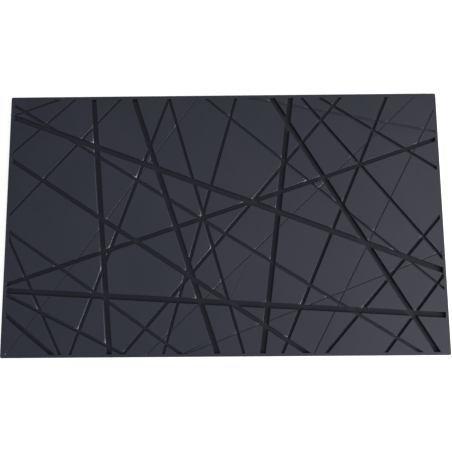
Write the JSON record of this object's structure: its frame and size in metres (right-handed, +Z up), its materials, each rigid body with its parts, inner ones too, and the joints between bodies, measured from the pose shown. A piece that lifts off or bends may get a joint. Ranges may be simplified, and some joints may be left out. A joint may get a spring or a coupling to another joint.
{
  "type": "self healing mat",
  "caption": "Thick rectangular leatherworking mat of bonded vinyl plies, its working face crossed by straight flat-bottomed channels that stop short of the rim.",
  "frame": {"origin": "middle of the underside, on the bench", "axes": "+X along the mat's length, +Y across its width, +Z up out of the working face"},
  "size_m": [0.5, 0.3, 0.009],
  "materials": {
    "healing_vinyl": "fine matt calendered vinyl, slate grey with a blue cast",
    "stiffener_film": "smooth translucent grey film, seen only as a thin line at the edge",
    "core_board": "hard black sheet, saw-cut edge"
  },
  "bodies": {
    "root": {"base_healing_ply": "healing_vinyl", "lower_stiffener_film": "stiffener_film", "core_sheet": "core_board", "upper_stiffener_film": "stiffener_film", "channelled_healing_ply": "healing_vinyl"}
  },
  "joints": []
}
